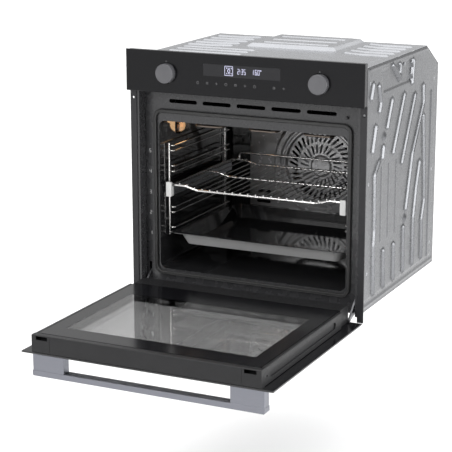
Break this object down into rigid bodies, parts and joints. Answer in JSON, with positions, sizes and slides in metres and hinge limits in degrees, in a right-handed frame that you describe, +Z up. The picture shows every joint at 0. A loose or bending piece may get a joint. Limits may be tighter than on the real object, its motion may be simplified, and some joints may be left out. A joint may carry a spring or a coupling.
{
  "type": "built-in wall oven",
  "caption": "Built-in electric wall oven with a drop-down glass door, bar handle, knob control panel, pull-out wire shelf, tray and hot-air fan.",
  "frame": {"origin": "middle of the front edge of the base: Z=0 is the underside of the base panel, Y=0 the front face of the chassis frame, X=0 the middle of the oven", "axes": "+X to the right seen from the front, +Y into the oven, +Z up"},
  "size_m": [0.595, 1.0445, 0.6495],
  "materials": {
    "galvanised": "galvanised sheet, satin",
    "black_enamel": "glossy enamel",
    "grey_enamel": "glossy speckled enamel",
    "trim_metal": "satin grey",
    "dark_glass": "dark glass, glossy",
    "clear_glass": "clear",
    "tinted_glass": "tinted",
    "black_plastic": "satin",
    "grey_plastic": "satin",
    "green_board": "satin",
    "knob_black": "satin black",
    "steel": "satin",
    "bright_wire": "polished",
    "aluminium": "brushed",
    "element": "heat-darkened",
    "wool": "mineral wool",
    "seal": "woven seal",
    "lamp": "warm lamp",
    "tray_enamel": "glossy enamel"
  },
  "bodies": {
    "oven_body": {"air_duct": "galvanised", "base_panel": "galvanised", "blower_housing": "galvanised", "blower_motor": "steel", "bottom_element": "element", "cable_clamp": "black_plastic", "cavity_liner": "grey_enamel", "control_board": "green_board", "control_panel_glass": "dark_glass", "display_module": "black_plastic", "door_seal": "seal", "door_switch": "black_plastic", "fan_cover": "grey_enamel", "fan_motor": "steel", "front_frame": "black_enamel", "grill_element": "element", "hinge_arms": "steel", "hinge_cases": "galvanised", "hinge_pins_and_rods": "steel", "hinge_springs": "steel", "insulation": "wool", "lamp_bulb": "lamp", "lamp_glass": "clear_glass", "lamp_housing": "steel", "panel_carrier": "black_plastic", "rack_left": "bright_wire", "rack_right": "bright_wire", "rail_outer": "steel", "rear_panel": "galvanised", "ring_element": "element", "screws": "steel", "selector_switches": "black_plastic", "side_panel_left": "galvanised", "side_panel_right": "galvanised", "side_trim_left": "trim_metal", "side_trim_right": "trim_metal", "temperature_probe": "steel", "terminal_block": "black_plastic", "top_cover": "galvanised"},
    "door": {"door_outer_glass": "tinted_glass", "door_middle_glass": "clear_glass", "door_inner_glass": "clear_glass", "door_side_left": "black_plastic", "door_side_right": "black_plastic", "door_top_trim": "black_plastic", "door_bottom_rail": "black_plastic", "handle_bar": "aluminium", "handle_posts": "aluminium"},
    "left_spindle": {"knob_spindle_left": "steel"},
    "left_knob": {"knob_left": "knob_black"},
    "right_spindle": {"knob_spindle_right": "steel"},
    "right_knob": {"knob_right": "knob_black"},
    "hot_air_wheel": {"convection_fan": "steel"},
    "cooling_wheel": {"blower_wheel": "black_plastic"},
    "shelf": {"wire_shelf": "bright_wire", "rail_runner": "steel", "rail_end_blocks": "grey_plastic"},
    "middle_rails": {"rail_middle": "steel"},
    "tray": {"baking_tray": "tray_enamel"},
    "switch_plunger": {"door_switch_plunger": "grey_plastic"}
  },
  "joints": [
    {"name": "door_hinge", "type": "hinge", "parent": "oven_body", "child": "door", "pos_m": [0, -0.044, -0.0045], "axis": [-1, 0, 0], "range_deg": [0, 90]},
    {"name": "left_knob_turn", "type": "hinge", "parent": "oven_body", "child": "left_spindle", "pos_m": [-0.1908, -0.03, 0.534], "axis": [0, 1, 0], "range_deg": [-180, 180]},
    {"name": "left_knob_push", "type": "slide", "parent": "left_spindle", "child": "left_knob", "axis": [0, 1, 0], "range_m": [0, 0.012]},
    {"name": "right_knob_turn", "type": "hinge", "parent": "oven_body", "child": "right_spindle", "pos_m": [0.1908, -0.03, 0.534], "axis": [0, 1, 0], "range_deg": [0, 270]},
    {"name": "right_knob_push", "type": "slide", "parent": "right_spindle", "child": "right_knob", "axis": [0, 1, 0], "range_m": [0, 0.012]},
    {"name": "hot_air_wheel_spin", "type": "hinge", "parent": "oven_body", "child": "hot_air_wheel", "pos_m": [0, 0.45, 0.239], "axis": [0, 1, 0], "continuous": true},
    {"name": "cooling_wheel_spin", "type": "hinge", "parent": "oven_body", "child": "cooling_wheel", "pos_m": [0, 0.322, 0.48], "axis": [0, 0, 1], "continuous": true},
    {"name": "shelf_slide", "type": "slide", "parent": "oven_body", "child": "shelf", "axis": [0, 1, 0], "range_m": [-0.3, 0]},
    {"name": "middle_rail_slide", "type": "slide", "parent": "oven_body", "child": "middle_rails", "axis": [0, 1, 0], "range_m": [-0.151, 0.001]},
    {"name": "tray_slide", "type": "slide", "parent": "oven_body", "child": "tray", "axis": [0, 1, 0], "range_m": [-0.3, 0]},
    {"name": "switch_plunger_push", "type": "slide", "parent": "oven_body", "child": "switch_plunger", "axis": [0, 1, 0], "range_m": [0, 0.005], "stiffness_N_per_m": 150, "springref_m": -0.002}
  ],
  "couplings": [
    {"joint": "middle_rail_slide", "follows": "shelf_slide", "ratio": 0.5}
  ]
}
